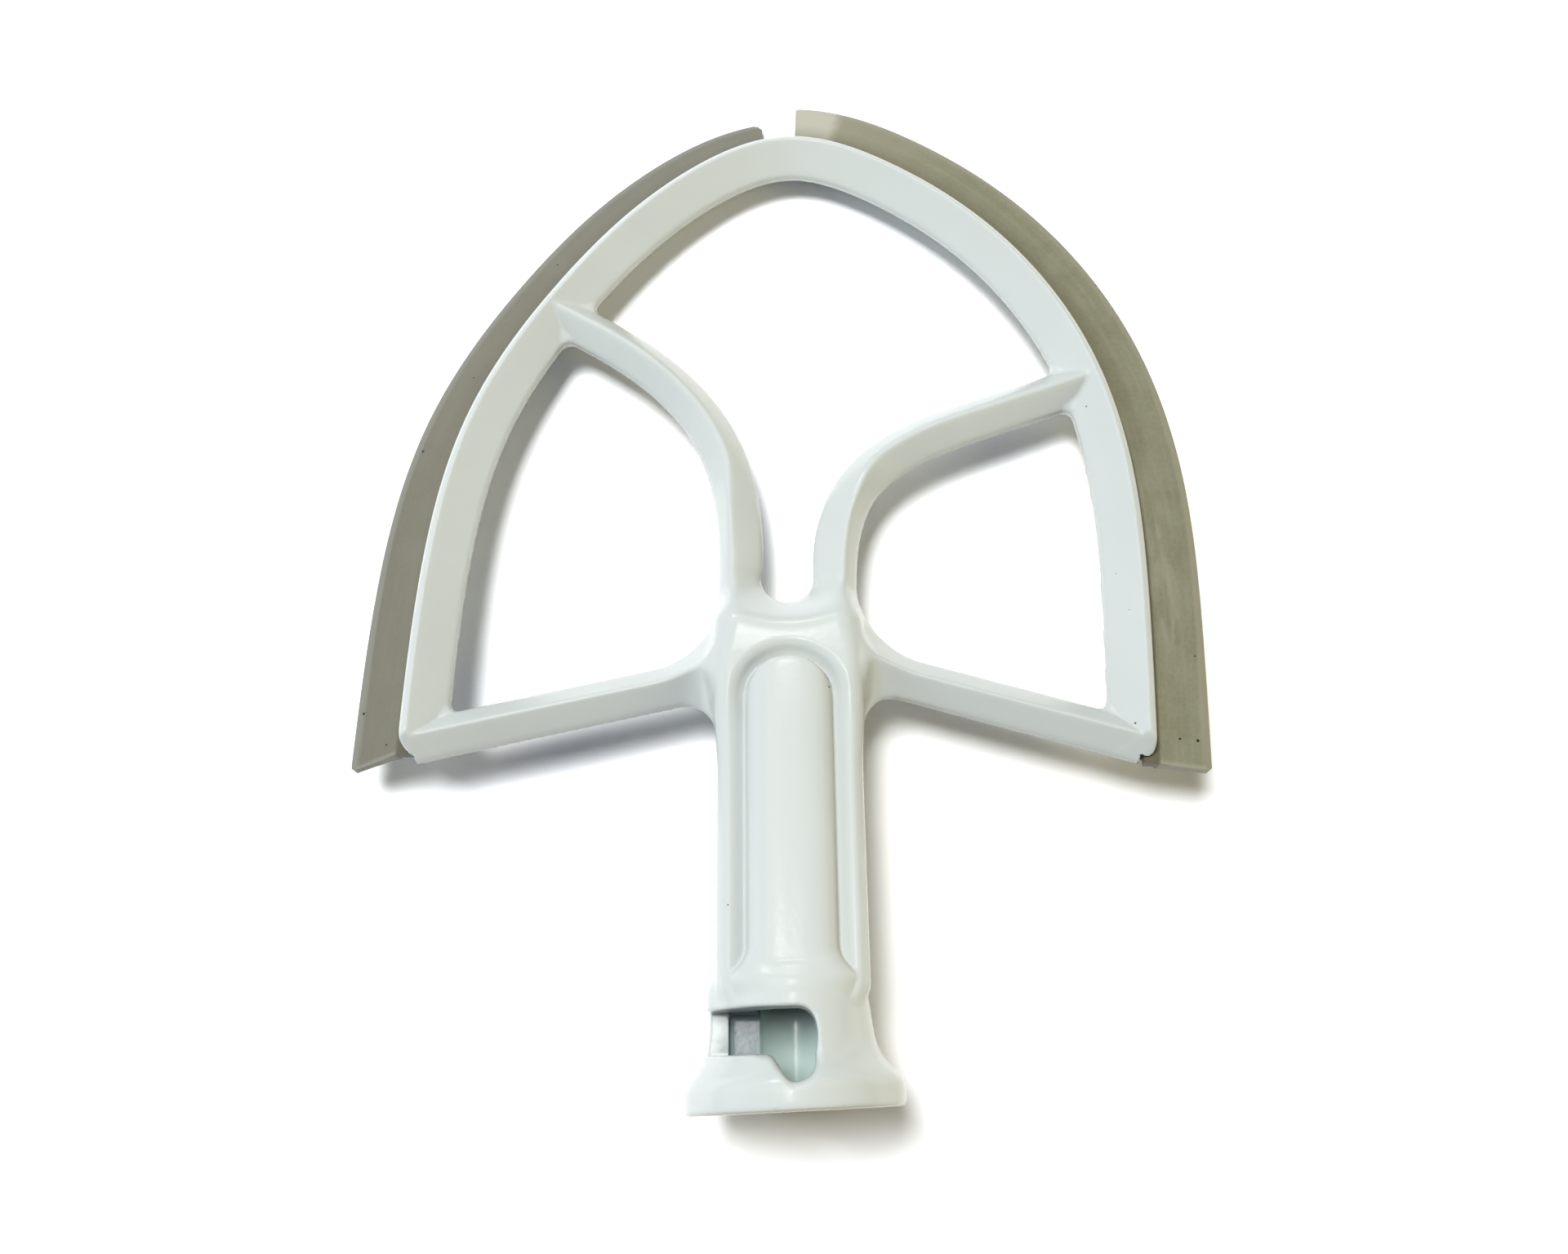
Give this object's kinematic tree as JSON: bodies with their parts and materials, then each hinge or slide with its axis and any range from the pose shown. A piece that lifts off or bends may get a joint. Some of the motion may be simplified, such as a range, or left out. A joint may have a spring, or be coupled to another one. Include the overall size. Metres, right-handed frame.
{
  "type": "stand mixer flat beater",
  "caption": "Flat beater for a stand mixer: cast open frame with curved arms, bayonet drive hub and flexible wiper edges along both sides.",
  "frame": {"origin": "centre of the drive bore at the hub's open end face, in the mid-plane of the casting", "axes": "+Y along the shaft from the hub to the apex, +X to the right seen from the front, +Z out of the front face, which is the face with the bayonet slot"},
  "size_m": [0.1508, 0.1961, 0.0348],
  "materials": {
    "white_coating": "gloss",
    "grey_wiper": "matte",
    "pale_grey_wiper": "matte"
  },
  "bodies": {
    "frame": {"beater_frame": "white_coating"},
    "left_edge": {"left_wiper": "grey_wiper"},
    "right_edge": {"right_wiper": "pale_grey_wiper"}
  },
  "joints": [
    {"name": "left_wiper_flex", "type": "hinge", "parent": "frame", "child": "left_edge", "pos_m": [-0.06721, 0.05641, 0], "axis": [0.4433, 0.8963, 0], "range_deg": [-7, 7], "stiffness_Nm_per_rad": 1.5, "deforming": ["left_wiper"]},
    {"name": "right_wiper_flex", "type": "hinge", "parent": "frame", "child": "right_edge", "pos_m": [0.06246, 0.05435, 0], "axis": [-0.4109, 0.9117, 0], "range_deg": [-7, 7], "stiffness_Nm_per_rad": 1.5, "deforming": ["right_wiper"]}
  ]
}
